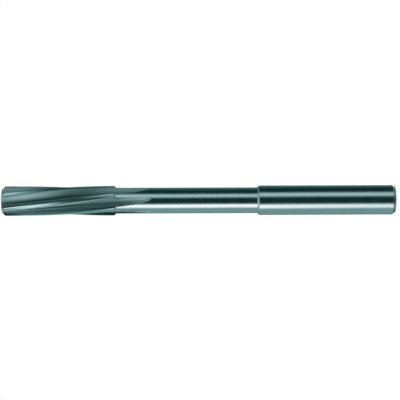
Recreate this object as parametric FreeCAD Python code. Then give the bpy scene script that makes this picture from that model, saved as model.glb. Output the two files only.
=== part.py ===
import FreeCAD, Part
import math
import os

# A 10 mm machine reamer, ground from one bar of tool steel. Lengths in mm, angles in degrees.
# The shank's flat end stands on z = 0, the tool's axis is Z and the cutting end points up.

os.makedirs("parts", exist_ok=True)

# Blank: one bar turned and ground to three diameters.
overall_length = 133.0
cutting_length = 38.0
cutting_diameter = 10.0
neck_diameter = 8.7
shank_diameter = 10.0
shank_length = 46.0
shank_chamfer = 1.0
step_angle = 45.0
step_root_radius = 0.5

# Centre holes, one in each end.
pilot_diameter = 1.6
pilot_depth = 3.5
countersink_diameter = 3.35
countersink_angle = 60.0
drill_point_angle = 118.0

# Teeth: right-hand cutting with a left-hand spiral, unequally spaced in opposite pairs.
spiral_angle = 7.6
first_edge_angle = 301.7
pitch_half_turn = (62.09, 58.03, 59.88)
rake_angle = 2.0
margin_width = 0.25
land_width = 1.15
relief_angle = 10.0
clearance_width = 0.45
clearance_angle = 30.0
core_diameter = 6.2
flute_root_radius = 0.8

# Bevel lead: the short chamfer at the cutting end that does the cutting.
lead_length = 1.0
lead_angle = 45.0
lead_relief_angle = 12.0
lead_grind_depth = 0.03
lead_grind_size = 3.0
lead_grind_front = 0.3

# Flute run-out: past the head the grinding wheel leaves the neck on its own radius.
full_depth_overrun = 1.0
wheel_radius = 50.0
helix_station_spacing = 3.0
runout_station_spacing = 1.2
cutter_overrun = 2.5
relief_overrun = 1.0
tip_overrun = 1.5
runout_clearance = 0.3
seam_share_of_pitch = 0.65

cutting_radius = cutting_diameter / 2
neck_radius = neck_diameter / 2
shank_radius = shank_diameter / 2
core_radius = core_diameter / 2
head_start = overall_length - cutting_length
lead_drop = lead_length * math.tan(math.radians(lead_angle))
twist_per_mm = math.tan(math.radians(spiral_angle)) / cutting_radius


def step_length(outer_radius, inner_radius):
    """Length of the sloping step between two diameters."""
    return (outer_radius - inner_radius) / math.tan(math.radians(step_angle))


def revolved(profile):
    """Solid of revolution about Z from (radius, height) points."""
    points = [FreeCAD.Vector(radius, 0, height) for radius, height in profile]
    face = Part.Face(Part.makePolygon(points + points[:1]))
    return face.revolve(FreeCAD.Vector(0, 0, 0), FreeCAD.Vector(0, 0, 1), 360)


def edges_at(shape, radius, height):
    """Circular edges of the given radius lying at the given height."""
    found = []
    for edge in shape.Edges:
        curve = edge.Curve
        if curve.TypeId != "Part::GeomCircle":
            continue
        if abs(curve.Radius - radius) < 1e-6 and abs(curve.Center.z - height) < 1e-6:
            found.append(edge)
    return found


def edge_angles():
    """Angle of every cutting edge at the tip, with the pitch to the next edge behind it."""
    angle = first_edge_angle
    teeth = []
    for pitch in pitch_half_turn + pitch_half_turn:
        teeth.append((angle, pitch))
        angle -= pitch
    return teeth


def seam_angle():
    """Angle inside a flute at the head's rear, where the blank's own seam leaves no sliver."""
    edge_angle, pitch = edge_angles()[0]
    edge_at_rear = edge_angle + math.degrees(twist_per_mm) * cutting_length
    return edge_at_rear - pitch * seam_share_of_pitch


def turned_blank():
    """Shank, neck and head with their chamfers and the small radii at the foot of both steps."""
    shank_step = step_length(shank_radius, neck_radius)
    head_step = step_length(cutting_radius, neck_radius)
    neck_bottom = shank_length + shank_step
    neck_top = head_start - head_step
    blank = revolved([
        (0, 0),
        (shank_radius - shank_chamfer, 0),
        (shank_radius, shank_chamfer),
        (shank_radius, shank_length),
        (neck_radius, neck_bottom),
        (neck_radius, neck_top),
        (cutting_radius, head_start),
        (cutting_radius, overall_length - lead_length),
        (cutting_radius - lead_drop, overall_length),
        (0, overall_length),
    ])
    roots = edges_at(blank, neck_radius, neck_bottom) + edges_at(blank, neck_radius, neck_top)
    blank = blank.makeFillet(step_root_radius, roots)
    blank.rotate(FreeCAD.Vector(0, 0, 0), FreeCAD.Vector(0, 0, 1), seam_angle())
    return blank


def centre_hole():
    """Countersink, pilot and drill point, opening at z = 0 and running up."""
    pilot_radius = pilot_diameter / 2
    mouth_radius = countersink_diameter / 2
    cone_depth = (mouth_radius - pilot_radius) / math.tan(math.radians(countersink_angle / 2))
    point_depth = pilot_radius / math.tan(math.radians(drill_point_angle / 2))
    return revolved([
        (0, 0),
        (mouth_radius, 0),
        (pilot_radius, cone_depth),
        (pilot_radius, pilot_depth),
        (0, pilot_depth + point_depth),
    ])


def with_centre_holes(blank):
    """Drill the same centre hole in both ends."""
    lower = centre_hole()
    upper = centre_hole()
    upper.rotate(FreeCAD.Vector(0, 0, 0), FreeCAD.Vector(1, 0, 0), 180)
    upper.translate(FreeCAD.Vector(0, 0, overall_length))
    return blank.cut(lower).cut(upper)


def polar(angle, radius):
    """Point in the tooth's own plane: +Y is the cutting edge's radius, +X points behind it."""
    return FreeCAD.Vector(radius * math.sin(angle), radius * math.cos(angle), 0)


def slope(angle, drop):
    """Direction that leaves the circle backwards at an angle and falls inwards by drop."""
    heading = angle + math.radians(drop)
    return FreeCAD.Vector(math.cos(heading), -math.sin(heading), 0)


def flute_section(pitch):
    """Points of the ground shape between one margin and the next cutting edge."""
    margin = margin_width / cutting_radius
    next_edge = math.radians(pitch)
    margin_end = polar(margin, cutting_radius)
    heel = margin_end + slope(margin, relief_angle) * (land_width - margin_width)
    back_start = heel + slope(margin, clearance_angle) * clearance_width

    edge = polar(next_edge, cutting_radius)
    rake = math.radians(rake_angle)
    inward = polar(next_edge - rake, -1.0)
    across = FreeCAD.Vector(inward.y, -inward.x, 0)
    offset_edge = edge + across * flute_root_radius
    along = offset_edge.dot(inward)
    reach = along ** 2 - offset_edge.dot(offset_edge) + (core_radius + flute_root_radius) ** 2
    rake_depth = -along - math.sqrt(reach)
    root = offset_edge + inward * rake_depth
    rake_end = edge + inward * rake_depth

    to_back = back_start - root
    bearing = math.atan2(to_back.y, to_back.x)
    swing = math.acos(flute_root_radius / to_back.Length)
    turned = bearing + swing
    back_end = root + FreeCAD.Vector(math.cos(turned), math.sin(turned), 0) * flute_root_radius
    bottom_side = (back_end - root) + (rake_end - root)
    bottom = root + bottom_side.normalize() * flute_root_radius

    relief_start = margin_end - slope(margin, relief_angle) * relief_overrun
    rake_start = edge - inward * cutter_overrun
    outer = relief_start * (rake_start.Length / relief_start.Length)
    return relief_start, heel, back_start, back_end, bottom, rake_end, rake_start, outer


def wheel_direction(pitch):
    """Direction in which the wheel leaves the flute: midway between rake face and back."""
    section = flute_section(pitch)
    back = (section[2] - section[3]).normalize()
    rake = (section[6] - section[5]).normalize()
    return (back + rake).normalize()


def runout_lift_needed(pitch):
    """How far the wheel must lift before it is clear of the neck."""
    section = flute_section(pitch)
    lift_line = wheel_direction(pitch)
    deepest = section[4]
    clear_radius = neck_radius + runout_clearance + flute_root_radius
    along = deepest.dot(lift_line)
    return -along + math.sqrt(along ** 2 - deepest.dot(deepest) + clear_radius ** 2)


def flute_stations(pitch):
    """Heights of the cutter's sections, each with the lift of the wheel there."""
    top = overall_length + tip_overrun
    runout_start = head_start - full_depth_overrun
    straight = top - runout_start
    lift_end = runout_lift_needed(pitch)
    runout = math.sqrt(lift_end * (2 * wheel_radius - lift_end))
    straight_count = math.ceil(straight / helix_station_spacing)
    runout_count = math.ceil(runout / runout_station_spacing)
    stations = []
    for index in range(straight_count):
        stations.append((top - straight * index / straight_count, 0.0))
    for index in range(runout_count + 1):
        travel = runout * index / runout_count
        lift = wheel_radius - math.sqrt(wheel_radius ** 2 - travel ** 2)
        stations.append((runout_start - travel, lift))
    return stations


def section_wire(pitch, lift):
    """Closed outline of the cutter in the tooth's own plane, moved out by the wheel's lift."""
    shift = wheel_direction(pitch) * lift
    points = [point + shift for point in flute_section(pitch)]
    relief_start, heel, back_start, back_end, bottom, rake_end, rake_start, outer = points
    edges = [
        Part.makeLine(relief_start, heel),
        Part.makeLine(heel, back_start),
        Part.makeLine(back_start, back_end),
        Part.Arc(back_end, bottom, rake_end).toShape(),
        Part.makeLine(rake_end, rake_start),
        Part.makeLine(rake_start, outer),
        Part.makeLine(outer, relief_start),
    ]
    return Part.Wire(edges)


def onto_tool(wire, edge_angle, height):
    """Carry a section from the tooth's own plane to its height on the left-hand spiral."""
    angle = edge_angle + math.degrees(twist_per_mm) * (overall_length - height)
    placed = wire.copy()
    placed.rotate(FreeCAD.Vector(0, 0, 0), FreeCAD.Vector(0, 0, 1), angle - 90)
    placed.translate(FreeCAD.Vector(0, 0, height))
    return placed


def flute_cutter(edge_angle, pitch):
    """Twisted solid that grinds one land's relief and the flute behind it."""
    wires = []
    for height, lift in flute_stations(pitch):
        wires.append(onto_tool(section_wire(pitch, lift), edge_angle, height))
    return Part.makeLoft(wires, True, False)


def lead_grind(edge_angle):
    """Block whose lower face is the relieved flat behind one tooth's bevel edge."""
    block = Part.makeBox(lead_grind_size, 2 * lead_grind_size, lead_grind_size)
    block.translate(FreeCAD.Vector(-lead_grind_front, -lead_grind_size, -lead_grind_depth))
    block.rotate(FreeCAD.Vector(0, 0, 0), FreeCAD.Vector(0, 1, 0), lead_relief_angle)
    block.rotate(FreeCAD.Vector(0, 0, 0), FreeCAD.Vector(1, 0, 0), lead_angle - 90)
    block.translate(FreeCAD.Vector(0, cutting_radius, overall_length - lead_length))
    twist = math.degrees(twist_per_mm) * lead_length
    block.rotate(FreeCAD.Vector(0, 0, 0), FreeCAD.Vector(0, 0, 1), edge_angle + twist - 90)
    return block


def reamer():
    """The whole tool: blank, centre holes, six ground flutes and six bevel flats."""
    tool = with_centre_holes(turned_blank())
    for edge_angle, pitch in edge_angles():
        tool = tool.cut(flute_cutter(edge_angle, pitch))
    for edge_angle, pitch in edge_angles():
        tool = tool.cut(lead_grind(edge_angle))
    return tool.removeSplitter()


tool = reamer()
solid = tool.Solids[0] if tool.Solids else tool
solid.exportStep("parts/reamer.step")
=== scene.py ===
import math

import bpy
from mathutils import Matrix, Vector


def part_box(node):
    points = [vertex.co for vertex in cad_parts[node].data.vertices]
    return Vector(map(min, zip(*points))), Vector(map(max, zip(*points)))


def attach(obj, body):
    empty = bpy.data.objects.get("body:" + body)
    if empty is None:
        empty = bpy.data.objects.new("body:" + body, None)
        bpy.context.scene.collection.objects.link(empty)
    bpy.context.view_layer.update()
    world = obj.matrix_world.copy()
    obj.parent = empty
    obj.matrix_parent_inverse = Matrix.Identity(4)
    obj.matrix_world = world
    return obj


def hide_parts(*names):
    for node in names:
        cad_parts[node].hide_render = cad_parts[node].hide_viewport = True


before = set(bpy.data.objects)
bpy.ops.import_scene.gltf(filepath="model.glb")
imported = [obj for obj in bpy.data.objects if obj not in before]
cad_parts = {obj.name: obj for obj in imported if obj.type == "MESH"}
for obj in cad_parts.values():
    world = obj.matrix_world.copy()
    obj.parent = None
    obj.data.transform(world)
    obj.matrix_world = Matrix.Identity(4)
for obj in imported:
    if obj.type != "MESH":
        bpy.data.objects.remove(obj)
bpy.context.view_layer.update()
bpy.ops.object.select_all(action="DESELECT")


# ---------------------------------------------------------------------------------------------
# The blank: one bar of high-speed tool steel, turned to shank, neck and head, hardened, and
# ground between the two centre holes. Every step and chamfer is a ring of the same bar, so the
# outline is built ring by ring from the shank's end face up, and ends in the upper centre hole.
# ---------------------------------------------------------------------------------------------
low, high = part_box("reamer")
overall_length = high.z - low.z
cutting_radius = (high.x - low.x) / 2
shank_radius = cutting_radius
neck_radius = 0.00435
shank_length = 0.046
shank_chamfer = 0.001
cutting_length = 0.038
head_start = overall_length - cutting_length
lead_length = 0.001
step = cutting_radius - neck_radius
step_angle = math.radians(45)
root_radius = 0.0005
root_steps = 6
mouth_radius = 0.001675
cone_angle = math.radians(60)
pilot_radius = 0.0008
pilot_depth = 0.0035
drill_point_angle = math.radians(118)
bar_sides = 240
shank_rings = (0.012, 0.023, 0.034)
neck_rings = (0.054, 0.062, 0.070, 0.078, 0.082, 0.086, 0.090)
head_rings = (0.100, 0.105, 0.110, 0.115, 0.120, 0.125, 0.129)


def scaled(factor):
    """Widen or narrow what is selected about the tool's axis."""
    bpy.ops.transform.resize(value=(factor, factor, 1), center_override=(0, 0, 0))


def next_ring(radius, height):
    """Extrude the selected cap to a new height and radius, and remember where it is."""
    bpy.ops.mesh.extrude_region_move(
        TRANSFORM_OT_translate={"value": (0, 0, height - ring["height"])})
    scaled(radius / ring["radius"])
    ring.update(radius=radius, height=height)


def bore_centre_hole(face_height, inwards):
    """Inset the selected end face to the countersink's mouth and sink the 60 degree hole."""
    ring.update(height=face_height)
    next_ring(mouth_radius, face_height)
    cone_depth = (mouth_radius - pilot_radius) / math.tan(cone_angle / 2)
    next_ring(pilot_radius, face_height + inwards * cone_depth)
    next_ring(pilot_radius, face_height + inwards * pilot_depth)
    point_depth = pilot_radius / math.tan(drill_point_angle / 2)
    bpy.ops.mesh.extrude_region_move(TRANSFORM_OT_translate={"value": (0, 0, inwards * point_depth)})
    bpy.ops.mesh.merge(type="CENTER")


def root_rings(foot_height, foot_radius, slope_side):
    """Radius and height of the rings round the small radius at the foot of a 45 degree step."""
    reach = root_radius * math.tan(step_angle / 2)
    rings = []
    for index in range(root_steps + 1):
        turn = step_angle * index / root_steps
        along = -reach + root_radius * math.sin(turn)
        rise = root_radius * (1 - math.cos(turn))
        rings.append((foot_radius + rise, foot_height + slope_side * along))
    return rings if slope_side > 0 else rings[::-1]


bpy.ops.mesh.primitive_circle_add(
    vertices=bar_sides, radius=shank_radius - shank_chamfer, fill_type="NGON", location=(0, 0, low.z))
reamer = bpy.context.object
reamer.name = "reamer_body"
bpy.ops.object.transform_apply(location=True, rotation=False, scale=False)
bpy.ops.object.mode_set(mode="EDIT")
bpy.ops.mesh.select_all(action="SELECT")
ring = {"radius": shank_radius - shank_chamfer, "height": low.z}
next_ring(shank_radius, shank_chamfer)
for height in (*shank_rings, shank_length):
    next_ring(shank_radius, height)
for radius, height in root_rings(shank_length + step, neck_radius, -1):
    next_ring(radius, height)
for height in neck_rings:
    next_ring(neck_radius, height)
for radius, height in root_rings(head_start - step, neck_radius, 1):
    next_ring(radius, height)
next_ring(cutting_radius, head_start)
for height in (*head_rings, overall_length - lead_length):
    next_ring(cutting_radius, height)
next_ring(cutting_radius - lead_length, overall_length)
bore_centre_hole(overall_length, -1)
bpy.ops.mesh.select_all(action="DESELECT")
bpy.ops.object.mode_set(mode="OBJECT")
for face in reamer.data.polygons:
    face.select = len(face.vertices) == bar_sides and face.center.z < shank_chamfer / 2
bpy.ops.object.mode_set(mode="EDIT")
bpy.ops.mesh.select_mode(type="FACE")
ring.update(radius=shank_radius - shank_chamfer)
bore_centre_hole(low.z, 1)
bpy.ops.mesh.select_all(action="SELECT")
bpy.ops.mesh.normals_make_consistent(inside=False)
bpy.ops.object.mode_set(mode="OBJECT")


# ---------------------------------------------------------------------------------------------
# The finish of the bar: bare steel under a thin film of oil. The grinding wheel leaves fine rings
# round the shank and the neck. The end faces, steps and chamfers are as the lathe left them, with
# coarser grooves.
# ---------------------------------------------------------------------------------------------
steel_colour = (0.53, 0.67, 0.67)
oil_scale = 260.0
mark_range = (0.3, 0.7)
oil_range = (0.35, 0.7)
ring_scale = 16000.0
ring_waver = 1.5
ring_depth = 0.0000006
groove_scale = 9000.0
groove_depth = 0.0000025
turned_tilt = 0.3


def add(tree, kind, **settings):
    """Add a shader node; settings are its inputs by name, or its own properties in lower case."""
    node = tree.nodes.new("ShaderNode" + kind)
    for name, value in settings.items():
        if hasattr(node, name):
            setattr(node, name, value)
            continue
        socket = node.inputs[int(name[1:]) if name[1:].isdigit() else name.replace("_", " ")]
        if isinstance(value, bpy.types.NodeSocket):
            tree.links.new(value, socket)
        else:
            socket.default_value = value
    return node


def math_node(tree, operation, first, second=0.0, third=0.0):
    """One sum on up to three numbers or sockets."""
    return add(tree, "Math", operation=operation, i0=first, i1=second, i2=third).outputs[0]


def fitted(tree, value, low_in, high_in, low_out, high_out, curve="LINEAR"):
    """Carry a value from one range to another, held at the ends."""
    return add(tree, "MapRange", interpolation_type=curve, Value=value, From_Min=low_in,
               From_Max=high_in, To_Min=low_out, To_Max=high_out).outputs[0]


def distance_from_axis(tree, split):
    """How far a place is from the tool's axis, in metres."""
    flat = add(tree, "CombineXYZ", X=split.outputs["X"], Y=split.outputs["Y"])
    return add(tree, "VectorMath", operation="LENGTH", i0=flat.outputs[0]).outputs[1]


def steel(name):
    """A new bare steel material and the position on the tool that its patterns read."""
    material = bpy.data.materials.new(name)
    material.use_nodes = True
    tree = material.node_tree
    shader = tree.nodes["Principled BSDF"]
    shader.inputs["Metallic"].default_value = 1.0
    place = add(tree, "TexCoord").outputs["Object"]
    return material, tree, shader, place


def oil_film(tree, place):
    """Slow uneven film over a few millimetres, from 0 to 1."""
    return add(tree, "TexNoise", Vector=place, Scale=oil_scale, Detail=3.0,
               Roughness=0.55).outputs["Fac"]


def shaded(colour, factor):
    """A colour made a little darker or lighter."""
    return [factor * channel for channel in colour]


def colour_by(tree, shader, amount, low_colour, high_colour):
    """Base colour that runs from one colour to another."""
    mixed = add(tree, "Mix", data_type="RGBA", blend_type="MIX", i0=amount)
    mixed.inputs[6].default_value = (*low_colour, 1)
    mixed.inputs[7].default_value = (*high_colour, 1)
    tree.links.new(mixed.outputs[2], shader.inputs["Base Color"])


def rough_by(tree, shader, marks, low_rough, high_rough, film, oil_rough):
    """Roughness that follows the marks, with a little more where the oil lies."""
    bare = fitted(tree, marks, *mark_range, low_rough, high_rough)
    oiled = fitted(tree, film, *oil_range, 0.0, oil_rough)
    tree.links.new(math_node(tree, "ADD", bare, oiled), shader.inputs["Roughness"])


def relief(tree, shader, height, depth):
    """Fine marks that tilt the surface; depth is in metres."""
    bump = add(tree, "Bump", Height=height, Strength=1.0, Distance=depth)
    tree.links.new(bump.outputs["Normal"], shader.inputs["Normal"])


ground_steel, tree, shader, place = steel("ground_steel")
split = add(tree, "SeparateXYZ", Vector=place)
around = math_node(tree, "ARCTAN2", split.outputs["Y"], split.outputs["X"])
rings = add(tree, "TexNoise", noise_dimensions="2D", Scale=1.0, Detail=4.0, Roughness=0.6,
            Vector=add(tree, "CombineXYZ", X=math_node(tree, "MULTIPLY", split.outputs["Z"], ring_scale),
                       Y=math_node(tree, "MULTIPLY", around, ring_waver)).outputs[0]).outputs["Fac"]
film = oil_film(tree, place)
rough_by(tree, shader, rings, low_rough=0.13, high_rough=0.19, film=film, oil_rough=0.05)
colour_by(tree, shader, film, shaded(steel_colour, 0.95), shaded(steel_colour, 1.03))
relief(tree, shader, rings, ring_depth)
reamer.data.materials.append(ground_steel)

turned_steel, tree, shader, place = steel("turned_steel")
split = add(tree, "SeparateXYZ", Vector=place)
outward = math_node(tree, "MULTIPLY", distance_from_axis(tree, split), groove_scale)
lengthways = math_node(tree, "MULTIPLY", split.outputs["Z"], groove_scale)
grooves = add(tree, "TexNoise", noise_dimensions="2D", Scale=1.0, Detail=3.0, Roughness=0.6,
              Vector=add(tree, "CombineXYZ", X=outward, Y=lengthways).outputs[0]).outputs["Fac"]
rough_by(tree, shader, grooves, low_rough=0.24, high_rough=0.34, film=oil_film(tree, place), oil_rough=0.06)
colour_by(tree, shader, grooves, shaded(steel_colour, 0.9), shaded(steel_colour, 1.03))
relief(tree, shader, grooves, groove_depth)
reamer.data.materials.append(turned_steel)
for face in reamer.data.polygons:
    face.material_index = int(abs(face.normal.z) > turned_tilt)


# ---------------------------------------------------------------------------------------------
# The six teeth: a wheel grinds each flute along the left-hand spiral, full depth over the head
# and a little past it, then leaves the neck on its own radius. Behind each cutting edge a narrow
# margin stays round; the land falls away from it in two flats. The teeth are unequally spaced.
# ---------------------------------------------------------------------------------------------
first_edge_angle = 301.7
pitch_half_turn = (62.09, 58.03, 59.88)
pitches = 2 * pitch_half_turn
spiral_angle = 7.6
twist_per_metre = math.tan(math.radians(spiral_angle)) / cutting_radius
margin_width = 0.00025
land_width = 0.00115
relief_angle = 10.0
clearance_width = 0.00045
clearance_angle = 30.0
rake_angle = 2.0
core_radius = 0.0031
flute_root = 0.0008
full_depth_overrun = 0.001
wheel_radius = 0.05
wheel_lift = 0.0016
relief_overcut = 0.001
rake_overcut = 0.0025
top_overcut = 0.0015
helix_step = 0.00075
runout_step = 0.0004
relief_points, back_points, root_points, rake_points = 4, 8, 18, 6
flute_colour = (0.45, 0.67, 0.67)
# Painted shade in the flutes: the dark colour that the roots are shaded to, the radius inside which that
# shade is full, and the radius where it ends.
painted_shade_colour = (0.02, 0.10, 0.10)
full_shade_radius = 0.0029
unshaded_radius = 0.0041
marks_up = 90.0


def polar(angle, radius):
    """Point in the tooth's own plane: +Y is the cutting edge's radius, +X lies behind it."""
    return Vector((radius * math.sin(angle), radius * math.cos(angle)))


def slope(angle, drop):
    """Direction that leaves the circle backwards at an angle and falls inwards by drop."""
    heading = angle + math.radians(drop)
    return Vector((math.cos(heading), -math.sin(heading)))


def flute_corners(pitch):
    """Corners of the ground shape between one margin and the next cutting edge."""
    margin = margin_width / cutting_radius
    next_edge = math.radians(pitch)
    margin_end = polar(margin, cutting_radius)
    heel = margin_end + slope(margin, relief_angle) * (land_width - margin_width)
    back_start = heel + slope(margin, clearance_angle) * clearance_width
    edge = polar(next_edge, cutting_radius)
    inward = polar(next_edge - math.radians(rake_angle), -1.0)
    across = Vector((inward.y, -inward.x))
    offset_edge = edge + across * flute_root
    along = offset_edge.dot(inward)
    reach = along ** 2 - offset_edge.length_squared + (core_radius + flute_root) ** 2
    rake_depth = -along - math.sqrt(reach)
    root = offset_edge + inward * rake_depth
    rake_end = edge + inward * rake_depth
    to_back = back_start - root
    turned = math.atan2(to_back.y, to_back.x) + math.acos(flute_root / to_back.length)
    back_end = root + Vector((math.cos(turned), math.sin(turned))) * flute_root
    relief_start = margin_end - slope(margin, relief_angle) * relief_overcut
    rake_start = edge - inward * rake_overcut
    outer = relief_start * (rake_start.length / relief_start.length)
    return relief_start, heel, back_start, back_end, root, rake_end, rake_start, outer


def along_line(start, end, count):
    """Evenly spaced points from start up to, but not at, end."""
    return [start.lerp(end, index / count) for index in range(count)]


def flute_outline(pitch):
    """Closed outline of the grinding cut: relief, clearance, back, root and rake, in that order."""
    relief_start, heel, back_start, back_end, root, rake_end, rake_start, outer = flute_corners(pitch)
    first = back_end - root
    sweep = first.angle_signed(rake_end - root)
    outline = along_line(relief_start, heel, relief_points)
    outline += along_line(heel, back_start, relief_points)
    outline += along_line(back_start, back_end, back_points)
    for index in range(root_points):
        turned = first.copy()
        turned.rotate(Matrix.Rotation(-sweep * index / root_points, 2))
        outline.append(root + turned)
    outline += along_line(rake_end, rake_start, rake_points)
    outline += [rake_start, outer]
    return outline


def wheel_direction(pitch):
    """Direction in which the wheel leaves the flute: midway between rake face and back."""
    corners = flute_corners(pitch)
    back = (corners[2] - corners[3]).normalized()
    rake = (corners[6] - corners[5]).normalized()
    return (back + rake).normalized()


def flute_stations():
    """Heights down the tool at which the cut's outline stands, each with the wheel's lift."""
    top = overall_length + top_overcut
    runout_start = head_start - full_depth_overrun
    count = math.ceil((top - runout_start) / helix_step)
    stations = [(top - (top - runout_start) * index / count, 0.0) for index in range(count)]
    runout = math.sqrt(wheel_lift * (2 * wheel_radius - wheel_lift))
    count = math.ceil(runout / runout_step)
    for index in range(count + 1):
        travel = runout * index / count
        lift = wheel_radius - math.sqrt(wheel_radius ** 2 - travel ** 2)
        stations.append((runout_start - travel, lift))
    return stations


def cut(tool, name):
    """Take the tool's shape out of the reamer and throw the tool away."""
    bpy.ops.object.select_all(action="DESELECT")
    reamer.select_set(True)
    bpy.context.view_layer.objects.active = reamer
    modifier = reamer.modifiers.new(name, "BOOLEAN")
    modifier.operation = "DIFFERENCE"
    modifier.solver = "EXACT"
    modifier.material_mode = "TRANSFER"
    modifier.object = tool
    bpy.ops.object.modifier_apply(modifier=name)
    bpy.data.objects.remove(tool)


def spiral_material(name, low_rough, high_rough, depth, marks, root_shade, rim_shade):
    """Steel with wheel marks along the spiral, with shade painted into its colour, darker towards the root
    of the flute.
    """
    material, tree, shader, place = steel(name)
    split = add(tree, "SeparateXYZ", Vector=place)
    twist = math_node(tree, "MULTIPLY", split.outputs["Z"], twist_per_metre)
    around = math_node(tree, "ARCTAN2", split.outputs["Y"], split.outputs["X"])
    angle = math_node(tree, "ADD", around, twist)
    radius = distance_from_axis(tree, split)
    # The turn is read as a point on a circle, so that the marks meet where the angle starts again.
    spot = add(tree, "CombineXYZ",
               X=math_node(tree, "MULTIPLY", math_node(tree, "COSINE", angle), marks),
               Y=math_node(tree, "MULTIPLY", math_node(tree, "SINE", angle), marks),
               Z=math_node(tree, "ADD", math_node(tree, "MULTIPLY", radius, marks / cutting_radius),
                           math_node(tree, "MULTIPLY", split.outputs["Z"], marks_up)))
    lines = add(tree, "TexNoise", Vector=spot.outputs[0], Scale=1.0, Detail=4.0,
                Roughness=0.6).outputs["Fac"]
    rough_by(tree, shader, lines, low_rough, high_rough, film=oil_film(tree, place), oil_rough=0.06)
    # Painted shade: the colour darkens towards the root of the flute, deep in the hollow where shade falls,
    # from rim_shade further out down to root_shade.
    unshaded_share = fitted(tree, radius, full_shade_radius, unshaded_radius, root_shade, rim_shade, "SMOOTHSTEP")
    shade = math_node(tree, "MULTIPLY", unshaded_share, fitted(tree, lines, *mark_range, 0.93, 1.0))
    colour_by(tree, shader, shade, painted_shade_colour, flute_colour)
    relief(tree, shader, lines, depth)
    return material


# The flute and the rake face carry painted shade: the flute darkens towards its root, and the rake face is
# darkened throughout. The lands carry none.
flute_steel = spiral_material("flute_ground_steel", low_rough=0.46, high_rough=0.54, depth=0.0000015,
                              marks=110.0, root_shade=0.2, rim_shade=0.86)
face_steel = spiral_material("rake_face_steel", low_rough=0.20, high_rough=0.27, depth=0.0000006,
                             marks=200.0, root_shade=0.0, rim_shade=0.5)
land_steel = spiral_material("land_ground_steel", low_rough=0.24, high_rough=0.30, depth=0.0000008,
                             marks=160.0, root_shade=1.0, rim_shade=1.0)


def finish_of_side(number):
    """Which of the cut's three finishes one side of its outline has: flute, land or rake face."""
    if number < relief_points:
        return 1
    return 0 if number < 2 * relief_points + back_points + root_points else 2


def turn_at(edge_angle, height):
    """Angle of the tooth's own plane at a height on the spiral."""
    return math.radians(edge_angle - 90) + twist_per_metre * (overall_length - height)


def finish_sides(wheel, outline, stations, lift_line, edge_angle):
    """Give each side face of the cut the finish of the outline's side that it stands on."""
    middles = [point.lerp(after, 0.5) for point, after in zip(outline, outline[1:] + outline[:1])]
    for face in wheel.data.polygons:
        height = face.center.z
        lift = min(stations, key=lambda station: abs(station[0] - height))[1]
        spot = Matrix.Rotation(-turn_at(edge_angle, height), 2) @ face.center.xy - lift_line * lift
        side = min(range(len(middles)), key=lambda index: (middles[index] - spot).length_squared)
        face.material_index = finish_of_side(side)


edge_angle = first_edge_angle
for number, pitch in enumerate(pitches):
    outline = flute_outline(pitch)
    lift_line = wheel_direction(pitch)
    stations = flute_stations()
    bpy.ops.mesh.primitive_circle_add(vertices=len(outline), radius=cutting_radius, fill_type="NGON")
    wheel = bpy.context.object
    wheel.name = f"flute_cut_{number}"
    start, _ = stations[0]
    turn = turn_at(edge_angle, start)
    for vertex, point in zip(wheel.data.vertices, outline):
        spot = Matrix.Rotation(turn, 2) @ point
        vertex.co = (spot.x, spot.y, start)
    for material in (flute_steel, land_steel, face_steel):
        wheel.data.materials.append(material)
    bpy.ops.object.mode_set(mode="EDIT")
    bpy.ops.mesh.select_all(action="SELECT")
    for (height, lift), (above, lift_above) in zip(stations[1:], stations):
        way = Matrix.Rotation(turn, 2) @ (lift_line * (lift - lift_above))
        bpy.ops.mesh.extrude_region_move(
            TRANSFORM_OT_translate={"value": (way.x, way.y, height - above)})
        step_turn = twist_per_metre * (above - height)
        bpy.ops.transform.rotate(value=-step_turn, orient_axis="Z", center_override=(0, 0, 0))
        turn += step_turn
    bpy.ops.mesh.select_all(action="SELECT")
    bpy.ops.mesh.normals_make_consistent(inside=False)
    bpy.ops.object.mode_set(mode="OBJECT")
    finish_sides(wheel, outline, stations, lift_line, edge_angle)
    cut(wheel, wheel.name)
    edge_angle -= pitch


# ---------------------------------------------------------------------------------------------
# The bevel lead: the 45 degree chamfer at the cutting end does the cutting. Each tooth's part of
# it is ground separately as a small flat that falls away behind the edge.
# ---------------------------------------------------------------------------------------------
lead_angle = 45.0
lead_relief_angle = 12.0
lead_grind_depth = 0.00003
lead_block = 0.003
lead_overcut = 0.0003
smooth_angle = 9.0
edge_angle = first_edge_angle
for number, pitch in enumerate(pitches):
    bpy.ops.mesh.primitive_cube_add(size=1)
    block = bpy.context.object
    block.name = f"lead_cut_{number}"
    block.data.transform(Matrix.Diagonal((lead_block, 2 * lead_block, lead_block, 1)))
    block.data.transform(
        Matrix.Translation((lead_block / 2 - lead_overcut, 0, lead_block / 2 - lead_grind_depth)))
    block.data.transform(Matrix.Rotation(math.radians(lead_relief_angle), 4, "Y"))
    block.data.transform(Matrix.Rotation(-math.radians(lead_angle), 4, "X"))
    block.data.transform(Matrix.Translation((0, cutting_radius, overall_length - lead_length)))
    turn = turn_at(edge_angle, overall_length - lead_length)
    block.data.transform(Matrix.Rotation(turn, 4, "Z"))
    block.data.materials.append(land_steel)
    cut(block, block.name)
    edge_angle -= pitch

bpy.ops.object.select_all(action="DESELECT")
reamer.select_set(True)
bpy.context.view_layer.objects.active = reamer
bpy.ops.object.shade_smooth_by_angle(angle=math.radians(smooth_angle))
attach(reamer, "root")
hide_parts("reamer")


# ---------------------------------------------------------------------------------------------
# The studio: a plain white floor and background. Long cards, seen only in the tool's reflections,
# stand all round it: a bright softbox and a wide grey card below the camera's line, a pale card
# above it, dim ones at the head and behind, and black gaps that draw the dark lines.
# ---------------------------------------------------------------------------------------------
surround_radius = 0.35
surround_height = 1.1
surround_sides = 96
gap_level = 0.03
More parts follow.
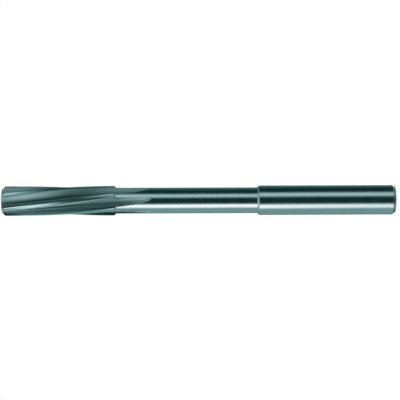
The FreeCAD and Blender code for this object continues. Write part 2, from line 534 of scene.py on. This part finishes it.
# Each card's first and last angle round the tool from the camera's side, in degrees, then the
# width of its soft sides and its level.
upper_card = (-56, -27, 13, 0.72)
softbox = (36, 69, 13, 1.22)
lower_card = (74, 150, 12, 0.38)
head_card = (-78, -42, 12, 0.32)
rear_card = (-175, -115, 20, 0.16)
head_card_heights = (0.11, 0.15)
softbox_middle, softbox_reach, softbox_gain = 0.075, 0.11, 1.28
card_lean = math.radians(4)
lean_heights = (-0.02, 0.08)
red_slope, red_base = 0.87, 0.12
end_radii = (0.12, 0.24)
end_levels = (0.05, 0.5)
end_red = 0.7
end_tilt = 0.5


def card(tree, side, start, end, soft, level):
    """One long card between two angles round the tool, in degrees, with soft sides."""
    rising = fitted(tree, side, math.radians(start - soft), math.radians(start + soft), 0.0, level,
                    "SMOOTHSTEP")
    falling = fitted(tree, side, math.radians(end - soft), math.radians(end + soft), 1.0, 0.0,
                     "SMOOTHSTEP")
    return math_node(tree, "MULTIPLY", rising, falling)


def glowing(name):
    """A new material that only glows, and the position that its pattern reads."""
    material = bpy.data.materials.new(name)
    material.use_nodes = True
    tree = material.node_tree
    tree.nodes.clear()
    return material, tree, add(tree, "SeparateXYZ", Vector=add(tree, "TexCoord").outputs["Object"])


def glow(tree, red, level):
    """Send out light, green and blue at one level and red at its own."""
    colour = add(tree, "CombineColor", i0=red, i1=level, i2=level).outputs[0]
    light = add(tree, "Emission", Color=colour, Strength=1.0)
    add(tree, "OutputMaterial", Surface=light.outputs[0])


bpy.ops.mesh.primitive_cylinder_add(vertices=surround_sides, radius=surround_radius, depth=surround_height,
                                    location=(0, 0, overall_length / 2))
surround = bpy.context.object
surround.name = "studio_cards"
bpy.ops.object.transform_apply(location=True, rotation=False, scale=False)
for ray in ("camera", "diffuse", "transmission", "volume_scatter", "shadow"):
    setattr(surround, "visible_" + ray, False)

card_glow, tree, split = glowing("studio_card_glow")
up = split.outputs["Z"]
side = math_node(tree, "ARCTAN2", math_node(tree, "MULTIPLY", split.outputs["X"], -1.0),
                 math_node(tree, "MULTIPLY", split.outputs["Y"], -1.0))
side = math_node(tree, "ADD", side, fitted(tree, up, *lean_heights, card_lean, 0.0))
off_middle = math_node(tree, "ABSOLUTE", math_node(tree, "SUBTRACT", up, softbox_middle))
gain = fitted(tree, off_middle, 0.0, softbox_reach, softbox_gain, 1.0, "SMOOTHSTEP")
at_head = fitted(tree, up, *head_card_heights, 0.0, 1.0)
level = math_node(tree, "ADD", gap_level, card(tree, side, *upper_card))
for light in (math_node(tree, "MULTIPLY", gain, card(tree, side, *softbox)),
              card(tree, side, *lower_card),
              math_node(tree, "MULTIPLY", at_head, card(tree, side, *head_card)),
              card(tree, side, *rear_card)):
    level = math_node(tree, "ADD", level, light)
red_share = math_node(tree, "MULTIPLY_ADD", math_node(tree, "SQRT", level), red_slope, red_base)
glow(tree, math_node(tree, "MULTIPLY", level, red_share), level)

end_glow, tree, split = glowing("studio_end_glow")
level = fitted(tree, distance_from_axis(tree, split), *end_radii, *end_levels)
glow(tree, math_node(tree, "MULTIPLY", level, end_red), level)
surround.data.materials.append(card_glow)
surround.data.materials.append(end_glow)
for face in surround.data.polygons:
    face.material_index = int(abs(face.normal.z) > end_tilt)

floor_side = 4.0
floor_white = 0.9
floor_lift = 0.3
bpy.ops.mesh.primitive_plane_add(size=floor_side, location=(0, 0, low.z))
floor = bpy.context.object
floor.name = "studio_floor"
floor.visible_glossy = False
floor_paint = bpy.data.materials.new("studio_floor_white")
floor_paint.use_nodes = True
tree = floor_paint.node_tree
shader = tree.nodes["Principled BSDF"]
shader.inputs["Base Color"].default_value = (floor_white, floor_white, floor_white, 1)
shader.inputs["Roughness"].default_value = 0.9
shader.inputs["Specular IOR Level"].default_value = 0.0
rays = add(tree, "LightPath")
lift = add(tree, "Emission", Color=(1, 1, 1, 1), Strength=floor_lift)
dark = add(tree, "Emission", Color=(0, 0, 0, 1), Strength=0.0)
seen = add(tree, "MixShader", i0=rays.outputs["Is Camera Ray"], i1=dark.outputs[0], i2=lift.outputs[0])
total = add(tree, "AddShader", i0=shader.outputs[0], i1=seen.outputs[0])
tree.links.new(total.outputs[0], tree.nodes["Material Output"].inputs["Surface"])
floor.data.materials.append(floor_paint)

world_level = 0.75
world = bpy.data.worlds.new("studio_world")
bpy.context.scene.world = world
world.use_nodes = True
tree = world.node_tree
tree.nodes.clear()
rays = add(tree, "LightPath")
plain = add(tree, "Background", Color=(1, 1, 1, 1), Strength=world_level)
white = add(tree, "Background", Color=(1, 1, 1, 1), Strength=1.0)
direct = math_node(tree, "MAXIMUM", rays.outputs["Is Camera Ray"], rays.outputs["Is Glossy Ray"])
shown = math_node(tree, "MAXIMUM", direct, rays.outputs["Is Transmission Ray"])
backdrop = add(tree, "MixShader", i0=shown, i1=plain.outputs[0], i2=white.outputs[0])
add(tree, "OutputWorld", Surface=backdrop.outputs[0])

overhead_side = 0.8
overhead_power = 6.0
overhead_place = (-0.15, -0.1, 1.2)
overhead = bpy.data.lights.new("overhead_softbox", "AREA")
overhead.shape = "SQUARE"
overhead.size = overhead_side
overhead.energy = overhead_power
overhead_box = bpy.data.objects.new("overhead_softbox", overhead)
overhead_box.location = overhead_place
bpy.context.scene.collection.objects.link(overhead_box)

bpy.context.scene.view_settings.view_transform = "Standard"


# ---------------------------------------------------------------------------------------------
# The camera looks level at the standing tool, lying on its side so that the cutting end is to the
# left. A long lens, half a metre away.
# ---------------------------------------------------------------------------------------------
camera_distance = 0.5
camera_height = 0.066
camera_aside = 0.00015
camera_roll = math.radians(0.2)
sensor_width = 36.0
lens_length = 132.8
camera_data = bpy.data.cameras.new("camera")
camera_data.sensor_width = sensor_width
camera_data.lens = lens_length
camera = bpy.data.objects.new("camera", camera_data)
bpy.context.scene.collection.objects.link(camera)
bpy.context.scene.camera = camera
right = Vector((0, 0, -1))
upward = Vector((1, 0, 0))
backward = Vector((0, -1, 0))
facing = Matrix((right, upward, backward)).transposed()
camera.matrix_world = (Matrix.Translation((camera_aside, -camera_distance, camera_height))
                       @ facing.to_4x4() @ Matrix.Rotation(-camera_roll, 4, "Z"))
